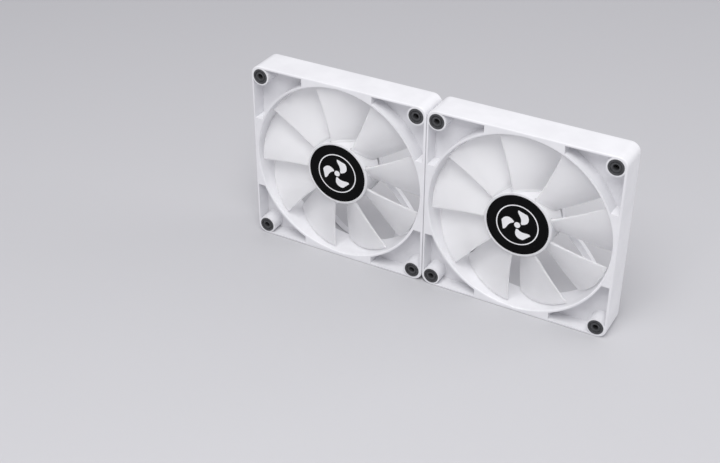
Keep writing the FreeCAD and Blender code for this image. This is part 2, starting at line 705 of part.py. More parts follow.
def plug_contacts(side):
    """Four folded spring contacts, one in each hole of the plug."""
    place = plug_place(side)
    x0 = place.x + PLUG_BACK_WALL
    x1 = x0 + CONTACT_LENGTH
    middle = place.z + PLUG_BODY_THICKNESS / 2
    outer = PIN_HOLE / 2
    inner = outer - CONTACT_WALL
    contacts = []
    for y in pin_rows(side):
        shell = box(x0, x1, y - outer, y + outer, middle - outer, middle + outer)
        bore = box(x0 + CONTACT_WALL, x1, y - inner, y + inner, middle - inner, middle + inner)
        contacts.append(shell.cut(bore))
    return Part.makeCompound(contacts)


# ---------------------------------------------------------------- the bank
IN_THE_FAN = [
    frame, front_pads, rear_pads, bearing_tube, sleeve_bearing, thrust_cap, stator_core,
    stator_bobbin, stator_windings, circuit_board, board_parts, rear_label, lead_root,
    lead_grommet, impeller, hub_label, rotor_yoke, magnet_ring, shaft_bush, shaft, retaining_clip,
]
BEHIND_THE_FAN = [lead, lead_hank, lead_tie, lead_plug, plug_contacts]


def save(shape, node):
    whole = all(s.isValid() and s.Volume > 0 for s in shape.Solids)
    print(node, len(shape.Solids), "solids", round(shape.Volume), "mm3", "" if whole else "NOT VALID")
    shape.exportStep(f"parts/{node}.step")


def main():
    os.makedirs("parts", exist_ok=True)
    for make in IN_THE_FAN:
        shape = make()
        for side, axis_x in SIDES.items():
            placed = shape.copy()
            placed.translate(Vector(axis_x, FRONT_Y, AXIS_HEIGHT))
            save(placed, f"{make.__name__}_{side}")
    for make in BEHIND_THE_FAN:
        for side in SIDES:
            save(make(side), f"{make.__name__}_{side}")


main()
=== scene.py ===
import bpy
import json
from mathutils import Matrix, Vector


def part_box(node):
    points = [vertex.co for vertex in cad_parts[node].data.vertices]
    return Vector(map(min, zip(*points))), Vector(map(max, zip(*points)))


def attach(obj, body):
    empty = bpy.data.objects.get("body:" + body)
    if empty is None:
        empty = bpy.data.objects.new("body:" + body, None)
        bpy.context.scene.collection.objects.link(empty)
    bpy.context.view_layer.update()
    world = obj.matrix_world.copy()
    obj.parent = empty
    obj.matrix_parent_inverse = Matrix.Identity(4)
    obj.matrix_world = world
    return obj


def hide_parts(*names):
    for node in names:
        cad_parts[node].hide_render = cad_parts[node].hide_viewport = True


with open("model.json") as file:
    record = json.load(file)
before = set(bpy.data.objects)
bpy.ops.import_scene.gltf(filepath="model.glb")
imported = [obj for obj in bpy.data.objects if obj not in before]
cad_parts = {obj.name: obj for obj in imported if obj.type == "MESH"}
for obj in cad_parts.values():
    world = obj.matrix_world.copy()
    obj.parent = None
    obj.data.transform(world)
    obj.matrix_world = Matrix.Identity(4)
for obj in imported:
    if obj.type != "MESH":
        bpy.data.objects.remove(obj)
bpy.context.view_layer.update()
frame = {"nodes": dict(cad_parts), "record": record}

# Looks of a bank of two 140 mm axial fans, in metres, round the CAD model.
# Each fan's shapes are made round its own axis, with x to the right, y back from the inlet face
# and z up, and moved to their place in the bank by fan_to_bank().

import json
import math

import bmesh
import bpy
from mathutils import Matrix, Vector

MM = 0.001
SIDES = ("left", "right")
BACKWARD = Vector((0, 1, 0))
UPWARD = Vector((0, 0, 1))

# ---------------------------------------------------------------- places read from the frame
AXIS = {s: (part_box(f"shaft_{s}")[0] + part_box(f"shaft_{s}")[1]) / 2 for s in SIDES}
FRAME_LOW, FRAME_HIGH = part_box("frame_left")
INLET_Y = FRAME_LOW.y
DEPTH = FRAME_HIGH.y - INLET_Y


def fan_to_bank(side):
    """The move from a fan's own axes to its place in the bank."""
    return Matrix.Translation((AXIS[side].x, INLET_Y, AXIS[side].z))


# ---------------------------------------------------------------- camera and stage
CAMERA_PLACE = Vector((0.32021, -0.66971, 0.51264))      # fitted to the photo's eight screw pads
CAMERA_AZIMUTH = math.radians(29.445)
CAMERA_ELEVATION = math.radians(32.771)
CAMERA_LENS_MM = 61.46
CAMERA_SENSOR_MM = 36.0
CAMERA_CLIP_END = 20.0
WORLD_COLOUR = (0.955, 0.945, 1.0)
WORLD_STRENGTH = 0.55
LIGHTS = {      # place, size and power
    "key": ((0.20, -0.75, 1.40), (0.9, 0.9), 17.0),
    "side": ((1.5, 0.9, 0.65), (1.2, 0.8), 7.0),
}
LIGHT_TARGET = (0, 0, 0.07)
FLOOR_SIZE = 8.0
FLOOR_COLOUR = (0.56, 0.56, 0.575)
FLOOR_ROUGHNESS = 0.7


def make_camera():
    data = bpy.data.cameras.new("camera")
    data.lens = CAMERA_LENS_MM
    data.sensor_width = CAMERA_SENSOR_MM
    data.clip_end = CAMERA_CLIP_END
    camera = bpy.data.objects.new("camera", data)
    camera.location = CAMERA_PLACE
    camera.rotation_euler = (math.pi / 2 - CAMERA_ELEVATION, 0.0, CAMERA_AZIMUTH)
    bpy.context.scene.collection.objects.link(camera)
    bpy.context.scene.camera = camera


def area_light(name, place, size, power):
    data = bpy.data.lights.new(name, "AREA")
    data.shape = "RECTANGLE"
    data.size, data.size_y = size
    data.energy = power
    light = bpy.data.objects.new(name, data)
    light.location = place
    aim = Vector(LIGHT_TARGET) - Vector(place)
    light.rotation_euler = aim.to_track_quat("-Z", "Y").to_euler()
    bpy.context.scene.collection.objects.link(light)


def make_stage():
    bpy.context.scene.view_settings.view_transform = "Standard"
    world = bpy.data.worlds.new("studio")
    bpy.context.scene.world = world
    world.use_nodes = True
    background = world.node_tree.nodes["Background"]
    background.inputs["Color"].default_value = (*WORLD_COLOUR, 1.0)
    background.inputs["Strength"].default_value = WORLD_STRENGTH
    for name, (place, size, power) in LIGHTS.items():
        area_light(name, place, size, power)
    bpy.ops.mesh.primitive_plane_add(size=FLOOR_SIZE, location=(0, 0, 0))
    floor = bpy.context.object
    floor.name = "floor"
    floor.data.materials.append(new_material("floor", FLOOR_COLOUR, FLOOR_ROUGHNESS)[0])


# ---------------------------------------------------------------- materials
SOFT_DETAIL, PLAIN_DETAIL, MARK_DETAIL, ROUGH_DETAIL = 2.0, 3.0, 4.0, 5.0
NOISE_ROUGHNESS = 0.55
RAMP_SPAN = (0.35, 0.65)      # the part of a noise's range that the colours run over


def new_material(name, colour, roughness, metallic=0.0):
    """A plain Principled material, its node tree and its shader."""
    material = bpy.data.materials.new(name)
    material.use_nodes = True
    tree = material.node_tree
    shader = tree.nodes["Principled BSDF"]
    shader.inputs["Base Color"].default_value = (*colour, 1.0)
    shader.inputs["Roughness"].default_value = roughness
    shader.inputs["Metallic"].default_value = metallic
    return material, tree, shader


def noise(tree, scale, detail=PLAIN_DETAIL, stretch=(1.0, 1.0, 1.0)):
    place = tree.nodes.new("ShaderNodeTexCoord")
    mapping = tree.nodes.new("ShaderNodeMapping")
    mapping.inputs["Scale"].default_value = stretch
    tree.links.new(place.outputs["Object"], mapping.inputs["Vector"])
    texture = tree.nodes.new("ShaderNodeTexNoise")
    texture.inputs["Scale"].default_value = scale
    texture.inputs["Detail"].default_value = detail
    texture.inputs["Roughness"].default_value = NOISE_ROUGHNESS
    tree.links.new(mapping.outputs["Vector"], texture.inputs["Vector"])
    return texture.outputs["Fac"]


def vary_colour(tree, shader, value, low, high):
    """Base colour that runs from low to high over the middle of a value's range."""
    node = tree.nodes.new("ShaderNodeValToRGB")
    for element, position, colour in zip(node.color_ramp.elements, RAMP_SPAN, (low, high)):
        element.position = position
        element.color = (*colour, 1.0)
    tree.links.new(value, node.inputs["Fac"])
    tree.links.new(node.outputs["Color"], shader.inputs["Base Color"])


def vary_roughness(tree, shader, value, low, high):
    node = tree.nodes.new("ShaderNodeMapRange")
    node.inputs["To Min"].default_value = low
    node.inputs["To Max"].default_value = high
    tree.links.new(value, node.inputs["Value"])
    tree.links.new(node.outputs["Result"], shader.inputs["Roughness"])


def add_relief(tree, shader, height, strength, distance):
    node = tree.nodes.new("ShaderNodeBump")
    node.inputs["Strength"].default_value = strength
    node.inputs["Distance"].default_value = distance
    tree.links.new(height, node.inputs["Height"])
    tree.links.new(node.outputs["Normal"], shader.inputs["Normal"])


# Each kind of finish: how finely its colour, its roughness and its relief vary, then the relief's
# strength, where the kind has only one, and its height in metres.
MOULDED_SCALES, MOULDED_RELIEF = (45.0, 160.0, 2600.0), 0.00003
FROSTED_SCALES, FROSTED_RELIEF = (60.0, 3200.0), (0.08, 0.00002)
RUBBER_SCALES, RUBBER_RELIEF = (420.0, 700.0, 2400.0), (0.25, 0.00004)
METAL_SCALE, METAL_RELIEF = 300.0, (0.15, 0.00003)
FILM_SCALES, FILM_RELIEF = (90.0, 240.0, 520.0), (0.05, 0.00004)
SHEET_SCALE, SHEET_RELIEF = 620.0, (0.4, 0.00005)

FROSTED_ROUGHNESS = 0.36
FROSTED_IOR = 1.45
FROSTED_SPREAD = (0.30, 0.003)      # weight and reach of the light that spreads inside
RUBBER_ROUGHNESS = (0.58, 0.85)
RUBBER_SHEEN = 0.06
TOOL_MARKS = (1.0, 30.0, 1.0)
WINDING_MARKS = (1.0, 14.0, 1.0)
CORE_STEEL = ((0.20, 0.20, 0.21), (0.48, 0.49, 0.51), 0.4)

# Darkest and lightest colour, least and most roughness, and the relief's strength.
MOULDED = {
    "white_plastic": ((0.77, 0.77, 0.79), (0.82, 0.82, 0.84), (0.28, 0.37), 0.10),
    "nylon": ((0.80, 0.79, 0.73), (0.86, 0.85, 0.80), (0.40, 0.52), 0.10),
    "circuit_board": ((0.012, 0.075, 0.035), (0.022, 0.115, 0.055), (0.25, 0.40), 0.10),
    "black_epoxy": ((0.010, 0.010, 0.011), (0.022, 0.022, 0.024), (0.40, 0.60), 0.10),
    "white_pvc": ((0.74, 0.74, 0.76), (0.80, 0.80, 0.82), (0.38, 0.50), 0.05),
    "white_tie": ((0.70, 0.71, 0.73), (0.78, 0.79, 0.81), (0.30, 0.42), 0.10),
    "plug_plastic": ((0.74, 0.74, 0.72), (0.82, 0.82, 0.80), (0.34, 0.46), 0.10),
}
# Colours, then how much light goes through and how much of what is behind is covered.
FROSTED = {
    "frosted_plastic": ((0.935, 0.935, 0.96), (0.97, 0.97, 0.99), 0.22, 1.0),
    "frosted_blades": ((0.965, 0.965, 0.975), (0.985, 0.985, 0.995), 0.28, 0.66),
}
RUBBER = {
    "grey_rubber": ((0.036, 0.037, 0.040), (0.062, 0.063, 0.068)),
    "white_rubber": ((0.68, 0.68, 0.69), (0.76, 0.76, 0.77)),
    "ferrite": ((0.030, 0.030, 0.033), (0.050, 0.050, 0.055)),
}
# Colours, roughness, and the stretch of the marks.
METAL = {
    "brass": ((0.62, 0.45, 0.20), (0.78, 0.60, 0.32), (0.25, 0.40), TOOL_MARKS),
    "sintered_bronze": ((0.34, 0.22, 0.12), (0.48, 0.33, 0.19), (0.45, 0.65), TOOL_MARKS),
    "yoke_steel": ((0.50, 0.51, 0.54), (0.64, 0.65, 0.67), (0.25, 0.40), TOOL_MARKS),
    "shaft_steel": ((0.62, 0.63, 0.65), (0.74, 0.75, 0.77), (0.12, 0.22), TOOL_MARKS),
    "copper_wire": ((0.42, 0.15, 0.05), (0.72, 0.30, 0.11), (0.25, 0.40), WINDING_MARKS),
    "tinned_contacts": ((0.50, 0.50, 0.49), (0.66, 0.66, 0.65), (0.22, 0.36), TOOL_MARKS),
}
# Colours, roughness, and the strength of the gloss.
FILM = {
    "black_label": ((0.0014, 0.0014, 0.0016), (0.0028, 0.0028, 0.0032), (0.42, 0.52), 0.07),
    "label_print": ((0.80, 0.80, 0.81), (0.86, 0.86, 0.87), (0.35, 0.45), 0.2),
    "silver_label": ((0.655, 0.665, 0.685), (0.69, 0.70, 0.72), (0.30, 0.40), 0.3),
}


def moulded(name, low, high, roughness, relief):
    """Injection-moulded plastic: a fine spark-eroded grain, and colour and gloss that drift slightly."""
    material, tree, shader = new_material(name, high, sum(roughness) / 2)
    colour_scale, roughness_scale, relief_scale = MOULDED_SCALES
    vary_colour(tree, shader, noise(tree, colour_scale), low, high)
    vary_roughness(tree, shader, noise(tree, roughness_scale), *roughness)
    add_relief(tree, shader, noise(tree, relief_scale, SOFT_DETAIL), relief, MOULDED_RELIEF)
    return material


def frosted(name, low, high, transmission, cover):
    """Milky translucent plastic: light spreads inside it, and what is behind may show faintly."""
    material, tree, shader = new_material(name, high, FROSTED_ROUGHNESS)
    shader.inputs["IOR"].default_value = FROSTED_IOR
    shader.inputs["Transmission Weight"].default_value = transmission
    shader.inputs["Subsurface Weight"].default_value = FROSTED_SPREAD[0]
    shader.inputs["Subsurface Radius"].default_value = (1.0, 1.0, 1.0)
    shader.inputs["Subsurface Scale"].default_value = FROSTED_SPREAD[1]
    shader.inputs["Alpha"].default_value = cover
    colour_scale, relief_scale = FROSTED_SCALES
    vary_colour(tree, shader, noise(tree, colour_scale), low, high)
    add_relief(tree, shader, noise(tree, relief_scale, SOFT_DETAIL), *FROSTED_RELIEF)
    return material


def rubber(name, low, high):
    """Matt material with a finely roughened skin: rubber, or pressed ferrite."""
    material, tree, shader = new_material(name, high, sum(RUBBER_ROUGHNESS) / 2)
    shader.inputs["Sheen Weight"].default_value = RUBBER_SHEEN
    colour_scale, roughness_scale, relief_scale = RUBBER_SCALES
    vary_colour(tree, shader, noise(tree, colour_scale, ROUGH_DETAIL), low, high)
    vary_roughness(tree, shader, noise(tree, roughness_scale), *RUBBER_ROUGHNESS)
    add_relief(tree, shader, noise(tree, relief_scale, MARK_DETAIL), *RUBBER_RELIEF)
    return material


def turned_metal(name, low, high, roughness, stretch):
    """Metal with fine marks that run round the fan's axis."""
    material, tree, shader = new_material(name, high, sum(roughness) / 2, metallic=1.0)
    marks = noise(tree, METAL_SCALE, MARK_DETAIL, stretch)
    vary_colour(tree, shader, marks, low, high)
    vary_roughness(tree, shader, marks, *roughness)
    add_relief(tree, shader, marks, *METAL_RELIEF)
    return material


def label_film(name, low, high, roughness, gloss):
    """Printed film: an even colour with a faint orange-peel gloss."""
    material, tree, shader = new_material(name, high, sum(roughness) / 2)
    shader.inputs["Specular IOR Level"].default_value = gloss
    colour_scale, roughness_scale, relief_scale = FILM_SCALES
    vary_colour(tree, shader, noise(tree, colour_scale), low, high)
    vary_roughness(tree, shader, noise(tree, roughness_scale), *roughness)
    add_relief(tree, shader, noise(tree, relief_scale, SOFT_DETAIL), *FILM_RELIEF)
    return material


def laminated(name, low, high, roughness):
    """A stack of thin steel sheets, seen as lines across the fan's axis."""
    material, tree, shader = new_material(name, high, roughness, metallic=1.0)
    place = tree.nodes.new("ShaderNodeTexCoord")
    wave = tree.nodes.new("ShaderNodeTexWave")
    wave.bands_direction = "Y"
    wave.inputs["Scale"].default_value = SHEET_SCALE
    tree.links.new(place.outputs["Object"], wave.inputs["Vector"])
    vary_colour(tree, shader, wave.outputs["Fac"], low, high)
    add_relief(tree, shader, wave.outputs["Fac"], *SHEET_RELIEF)
    return material


def make_materials():
    found = {"core_steel": laminated("core_steel", *CORE_STEEL)}
    for kind, rows in ((moulded, MOULDED), (frosted, FROSTED), (rubber, RUBBER),
                       (turned_metal, METAL), (label_film, FILM)):
        for name, values in rows.items():
            found[name] = kind(name, *values)
    return found


# ---------------------------------------------------------------- mesh helpers
WELD_DISTANCE = 0.0001 * MM      # points on a turned shape's axis become one
CORNER_REACH = 0.49              # the most of a side that a rounded corner takes


def piece(name, part, slot, body, finish=None, smooth=True):
    """A new mesh piece in the bank's frame, that rides on a body; its finish is its slot's if not given."""
    vertices, faces = part
    mesh = bpy.data.meshes.new(name)
    mesh.from_pydata([tuple(v) for v in vertices], [], faces)
    mesh.validate()
    build = bmesh.new()
    build.from_mesh(mesh)
    bmesh.ops.remove_doubles(build, verts=build.verts, dist=WELD_DISTANCE)
    bmesh.ops.delete(build, geom=[e for e in build.edges if not e.link_faces], context="EDGES")
    bmesh.ops.recalc_face_normals(build, faces=build.faces)
    build.to_mesh(mesh)
    build.free()
    for polygon in mesh.polygons:
        polygon.use_smooth = smooth
    obj = bpy.data.objects.new(name, mesh)
    bpy.context.scene.collection.objects.link(obj)
    mesh.materials.append(MATERIALS[finish or slot])
    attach(obj, body)
    return obj


def skin(rings, sides, closed=False):
    """Faces between rings of points, each to the next, and from the last to the first if closed."""
    faces = []
    for i in range(rings if closed else rings - 1):
        here, after = i * sides, (i + 1) % rings * sides
        for k in range(sides):
            beside = (k + 1) % sides
            faces.append((here + k, here + beside, after + beside, after + k))
    return faces


def lathe(profile, steps):
    """A closed profile of (radius, depth) points turned about the fan's axis."""
    vertices = []
    for k in range(steps):
        angle = 2 * math.pi * k / steps
        for radius, depth in profile:
            vertices.append(Vector((radius * math.cos(angle), depth, radius * math.sin(angle))))
    return vertices, skin(steps, len(profile), closed=True)


def rounded_profile(corners, steps=5):
    """A closed profile of (radius, depth, rounding) corners, with each corner turned into an arc."""
    points = []
    for k, (r, y, rounding) in enumerate(corners):
        here = Vector((r, y))
        before = Vector(corners[k - 1][:2]) - here
        after = Vector(corners[(k + 1) % len(corners)][:2]) - here
        if rounding <= 0:
            points.append((r, y))
            continue
        half = before.angle(after) / 2
        reach = min(rounding / math.tan(half), CORNER_REACH * before.length, CORNER_REACH * after.length)
        start, end = here + before.normalized() * reach, here + after.normalized() * reach
        for i in range(steps + 1):
            t = i / steps
            points.append(tuple(start * (1 - t) ** 2 + here * (2 * t * (1 - t)) + end * t ** 2))
    return points


def joined(parts):
    """Several (vertices, faces) parts as one."""
    vertices, faces = [], []
    for part_vertices, part_faces in parts:
        offset = len(vertices)
        vertices += list(part_vertices)
        faces += [tuple(i + offset for i in face) for face in part_faces]
    return vertices, faces


def moved(part, matrix):
    vertices, faces = part
    return [matrix @ Vector(v) for v in vertices], faces


# ---------------------------------------------------------------- leads
WIRE_COUNT = 4
WIRE_RADIUS = 0.6 * MM
WIRE_PITCH = 1.133 * MM
WIRE_SIDES = 10
LINE_RESOLUTION = 6
PIN_PITCH = 2.54 * MM
PIN_SPREAD = (0.5 * MM, 7 * MM)      # from the plug: the wires are at the pins' spacing, and side by side

# Control points of each free lead in the bank's frame, from the grommet to the hank.  The left one
# lies flat on the floor, lower than the round solid, and runs in under its own laps.
LEAD_ROUTES = {
    "left": [
        (-0.1130, 0.0110, 0.00930),
        (-0.1130, 0.0225, 0.0090),
        (-0.1080, 0.0305, 0.0062),
        (-0.0980, 0.0302, 0.0022),
        (-0.0890, 0.0246, 0.00070),
        (-0.0800, 0.0196, 0.00064),
        (-0.0695, 0.0176, 0.00064),
        (-0.0575, 0.0174, 0.00064),
        (-0.0485, 0.0200, 0.00064),
        (-0.0420, 0.0238, 0.00064),
        (-0.0330, 0.0280, 0.0009),
        (-0.0250, 0.0290, 0.0024),
        (-0.0175, 0.0286, 0.0034),
    ],
    "right": [
        (0.0270, 0.0110, 0.00930),
        (0.0270, 0.0195, 0.00915),
    ],
}
# Control points of each lead from the hank to the plug.
TAIL_ROUTES = {
    "left": [
        (0.0195, 0.0166, 0.0037),
        (0.0260, 0.0176, 0.0036),
        (0.0320, 0.0190, 0.0030),
        (0.0384, 0.0198, 0.0024),
    ],
    "right": [
        (-0.0388, 0.0274, 0.0092),
        (-0.0363, 0.0231, 0.0099),
        (-0.0320, 0.0206, 0.0112),
        (-0.0270, 0.0206, 0.0127),
        (-0.0218, 0.0224, 0.0139),
        (-0.0166, 0.0254, 0.0145),
        (-0.0108, 0.0286, 0.0143),
        (-0.0031, 0.0299, 0.0139),
    ],
}
LOBE_RADIUS = 14.0 * MM
LOBE_OFFSET = 22.0 * MM
WAIST = 5.5 * MM
WAIST_ANGLES = (-26, -9, 9, 26)
LOBE_ANGLES = (-105, -75, -45, -15, 15, 45, 75, 105)
LOBE_SWELL = 1 / math.cos(math.radians(15))      # the spline cuts inside its corners
LAP_STATIONS = {"left": (1, 52), "right": (7, 61)}      # first, and how many, from the near waist on
LAP_INSETS = {"left": (4.2 * MM, 0.6 * MM), "right": (0.6 * MM, 4.7 * MM)}      # at the start and end
# Where the lead turns from flat to on edge, from its start, and back to flat, from its end.
EDGE_START = {"left": (101 * MM, 119 * MM), "right": (1 * MM, 15 * MM)}
EDGE_END = {"left": (5 * MM, 26 * MM), "right": (6 * MM, 28 * MM)}


def hank_laps(side):
    """Control points of the hank's laps: two round lobes with a waist, turning left seen from above."""
    low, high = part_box(f"lead_hank_{side}")
    centre = (low + high) / 2
    waist_radius = (LOBE_OFFSET ** 2 + WAIST ** 2 - LOBE_RADIUS ** 2) / (2 * (LOBE_RADIUS - WAIST))
    lap = []
    for sign in (1, -1):
        lap += [("waist", sign, a) for a in WAIST_ANGLES]
        lap += [("lobe", sign, a) for a in LOBE_ANGLES]
    first, count = LAP_STATIONS[side]
    start, end = LAP_INSETS[side]
    points = []
    for k in range(count):
        part, sign, degrees = lap[(first + k) % len(lap)]
        inset = start + (end - start) * k / (count - 1)
        angle = math.radians(degrees)
        if part == "lobe":
            radius = (LOBE_RADIUS - inset) * LOBE_SWELL
            x, y = LOBE_OFFSET + radius * math.cos(angle), radius * math.sin(angle)
        else:
            radius = waist_radius + inset
            x, y = radius * math.sin(angle), radius * math.cos(angle) - WAIST - waist_radius
        points.append(centre + Vector((x, y, 0.0)) * sign)
    return points


def nurbs_line(name, points):
    """The points of a smooth open curve that has the given control points."""
    curve = bpy.data.curves.new(name, "CURVE")
    curve.dimensions = "3D"
    curve.resolution_u = LINE_RESOLUTION
    spline = curve.splines.new("NURBS")
    spline.points.add(len(points) - 1)
    for knot, point in zip(spline.points, points):
        knot.co = (*point, 1.0)
    spline.order_u = 3
    spline.use_endpoint_u = True
    holder = bpy.data.objects.new(name, curve)
    line = bpy.data.meshes.new_from_object(holder)
    found = [v.co.copy() for v in line.vertices]
    bpy.data.objects.remove(holder)
    bpy.data.curves.remove(curve)
    bpy.data.meshes.remove(line)
    return found


def tangents(line):
    found = []
    for k in range(len(line)):
        found.append((line[min(k + 1, len(line) - 1)] - line[max(k - 1, 0)]).normalized())
    return found


def distances(line):
    """How far along the line each of its points is."""
    total, found = 0.0, [0.0]
    for before, after in zip(line, line[1:]):
        total += (after - before).length
        found.append(total)
    return found


def smooth_step(value, low, high):
    t = min(max((value - low) / (high - low), 0.0), 1.0)
    return t * t * (3.0 - 2.0 * t)


def tube_part(centres, across, upward, radius, sides):
    """A closed round tube through the centres; across and upward are its cross-section's axes."""
    vertices = []
    for centre, a, b in zip(centres, across, upward):
        for k in range(sides):
            angle = 2 * math.pi * k / sides
            vertices.append(centre + a * (radius * math.cos(angle)) + b * (radius * math.sin(angle)))
    rings = len(centres)
    ends = [tuple(range(sides)), tuple(range((rings - 1) * sides, rings * sides))]
    return vertices, skin(rings, sides) + ends


def flat_lead_part(line, normals, pitches):
    """Four wires side by side along a line; normals are the flat side's, pitches the wires' spacing."""
    across, upward = [], []
    for along, normal in zip(tangents(line), normals):
        side = along.cross(normal).normalized()
        across.append(side)
        upward.append(side.cross(along).normalized())
    wires = []
    for k in range(WIRE_COUNT):
        share = k - (WIRE_COUNT - 1) / 2
        centres = [p + s * (share * pitch) for p, s, pitch in zip(line, across, pitches)]
        wires.append(tube_part(centres, across, upward, WIRE_RADIUS, WIRE_SIDES))
    return joined(wires)


def make_lead(side):
    """The free lead: flat out of the grommet, on edge through the hank, and flat again at the plug."""
    control = [Vector(p) for p in LEAD_ROUTES[side]] + hank_laps(side)
    control += [Vector(p) for p in TAIL_ROUTES[side]]
    line = nurbs_line(f"lead_line_{side}", control)
    gone = distances(line)
    normals, pitches = [], []
    for along, here in zip(tangents(line), gone):
        left = gone[-1] - here
        turn = smooth_step(here, *EDGE_START[side]) * smooth_step(left, *EDGE_END[side]) * math.pi / 2
        flat_normal = along.cross(UPWARD).cross(along).normalized()
        edge_normal = along.cross(UPWARD).normalized()
        normals.append(flat_normal * math.cos(turn) + edge_normal * math.sin(turn))
        fan_out = 1.0 - smooth_step(left, *PIN_SPREAD)
        pitches.append(WIRE_PITCH + (PIN_PITCH - WIRE_PITCH) * fan_out)
    lead = piece(f"lead_wires_{side}", flat_lead_part(line, normals, pitches), "white_pvc", "frames")
    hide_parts(f"lead_{side}", f"lead_hank_{side}")
    tie = make_tie(side)


STRUT_ANGLES = (-7.0, -26.0, -36.0)      # where a strut's curve passes its inner, middle and outer radius
LEAD_STRUT_TURN = 270.0
ROOT_RADIUS = 15.0 * MM
ROOT_END = 70.8 * MM
GROMMET_TOP = 68.9 * MM
ROOT_BEND = 1.6 * MM
BEND_STEPS = 8
STRUT_STEPS = 64


def circle_through(a, b, c):
    """Centre and radius of the circle through three points of a plane."""
    ab, ac = b - a, c - a
    cross = 2 * (ab.x * ac.y - ab.y * ac.x)
    offset = Vector((ac.y * ab.length_squared - ab.y * ac.length_squared,
                     ab.x * ac.length_squared - ac.x * ab.length_squared)) / cross
    return a + offset, offset.length


def make_lead_root(side):
    """The four wires inside the fan: out of the motor base, round a bend, and along in their strut."""
    low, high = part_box(f"lead_root_{side}")
    depth = high.y - INLET_Y - WIRE_RADIUS
    radii = (ROOT_RADIUS, (ROOT_RADIUS + ROOT_END) / 2, ROOT_END)
    a, b, c = [Vector((r * math.cos(t), r * math.sin(t)))
               for r, t in zip(radii, [math.radians(d + LEAD_STRUT_TURN) for d in STRUT_ANGLES])]
    centre, radius = circle_through(a, b, c)
    start = math.atan2(*(a - centre).yx)
    sweep = (math.atan2(*(c - centre).yx) - start + math.pi) % (2 * math.pi) - math.pi
    turn = math.copysign(1.0, sweep)

    def on_strut(angle):
        return Vector((centre.x + radius * math.cos(angle), depth, centre.y + radius * math.sin(angle)))

    def heading(angle):
        return Vector((-math.sin(angle), 0.0, math.cos(angle))) * turn

    first = heading(start)
    line = [on_strut(start) + Vector((0, low.y - INLET_Y - depth, 0))]
    across = [first.cross(BACKWARD)]
    for i in range(BEND_STEPS + 1):
        bend = math.pi / 2 * i / BEND_STEPS
        line.append(on_strut(start) + first * (ROOT_BEND * (1 - math.cos(bend)))
                    - Vector((0, ROOT_BEND * (1 - math.sin(bend)), 0)))
        across.append(across[0])
    for i in range(1, STRUT_STEPS + 1):
        angle = start + sweep * i / STRUT_STEPS
        point = on_strut(angle)
        if (point - line[0]).length < 2 * ROOT_BEND:
            continue
        if math.hypot(point.x, point.z) > GROMMET_TOP:
            break
        line.append(point)
        across.append(heading(angle).cross(BACKWARD))
    normals = [s.cross(t).normalized() for s, t in zip(across, tangents(line))]
    part = moved(flat_lead_part(line, normals, [WIRE_PITCH] * len(line)), fan_to_bank(side))
    root = piece(f"lead_wires_in_frame_{side}", part, "white_pvc", "frames")
    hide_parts(f"lead_root_{side}")


TIE_WIDTH = 5.0 * MM
TIE_THICKNESS = 0.5 * MM
TIE_EDGE = TIE_THICKNESS * 0.49      # its rounding, nearly half its thickness
TIE_EDGE_STEPS = 3
TIE_CORNER = 1.6 * MM
PIGTAIL_RUN = Vector((4.0, 5.2, -0.8)) * MM
PIGTAIL_TURNS = 3.0
PIGTAIL_RADIUS = 0.45 * MM
PIGTAIL_STRAND = PIGTAIL_RADIUS * 0.9
PIGTAIL_FLARE = (0.8, 0.85, 0.15)      # how much wider at its end, from where, and over what share
PIGTAIL_STEPS = 48
PIGTAIL_SIDES = 8


def rounded_loop(half_width, half_height, corner, steps=8):
    """Points of a rounded rectangle, width along the first axis, as (first, second) pairs."""
    points = []
    for quarter, (sx, sy) in enumerate(((1, 1), (-1, 1), (-1, -1), (1, -1))):
        for i in range(steps + 1):
            angle = math.radians(90 * quarter + 90 * i / steps)
            points.append((sx * (half_width - corner) + corner * math.cos(angle),
                           sy * (half_height - corner) + corner * math.sin(angle)))
    return points


def tie_band_part(middle, half_width, half_height):
    """The tie's flat band: a thin section carried round a rounded rectangle."""
    section = rounded_loop(TIE_WIDTH / 2, TIE_THICKNESS / 2, TIE_EDGE, TIE_EDGE_STEPS)
    loop = rounded_loop(half_width, half_height, TIE_CORNER)
    vertices = []
    for k, (y, z) in enumerate(loop):
        after, before = loop[(k + 1) % len(loop)], loop[k - 1]
        along = Vector((0, after[0] - before[0], after[1] - before[1])).normalized()
        outward = Vector((0, along.z, -along.y))
        for a, b in section:
            vertices.append(middle + Vector((a, y, z)) + outward * b)
    return vertices, skin(len(loop), len(section), closed=True)


def pigtail_part(root, phase):
    """One of the tie's two twisted ends."""
    sideways = PIGTAIL_RUN.cross(UPWARD).normalized()
    flare, flare_from, flare_run = PIGTAIL_FLARE
    line = []
    for i in range(PIGTAIL_STEPS + 1):
        t = i / PIGTAIL_STEPS
        angle = phase + 2 * math.pi * PIGTAIL_TURNS * t
        spread = PIGTAIL_RADIUS * (1.0 + flare * max(0.0, t - flare_from) / flare_run)
        round_it = sideways * math.cos(angle) + UPWARD * math.sin(angle)
        line.append(root + PIGTAIL_RUN * t + round_it * spread)
    across = [t.cross(UPWARD).normalized() for t in tangents(line)]
    upward = [s.cross(t).normalized() for s, t in zip(across, tangents(line))]
    return tube_part(line, across, upward, PIGTAIL_STRAND, PIGTAIL_SIDES)


def make_tie(side):
    """A plastic band round the hank, with its twisted ends standing out from the far side."""
    low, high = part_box(f"lead_tie_{side}")
    middle = (low + high) / 2
    half_width = (high.y - low.y) / 2 - TIE_THICKNESS / 2
    half_height = (high.z - low.z) / 2 - TIE_THICKNESS / 2
    root = Vector((middle.x, high.y + PIGTAIL_RADIUS, middle.z))
    parts = [tie_band_part(middle, half_width, half_height)]
    parts += [pigtail_part(root, phase) for phase in (0.0, math.pi)]
    tie = piece(f"twist_tie_{side}", joined(parts), "white_tie", "frames")
    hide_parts(f"lead_tie_{side}")
    return tie


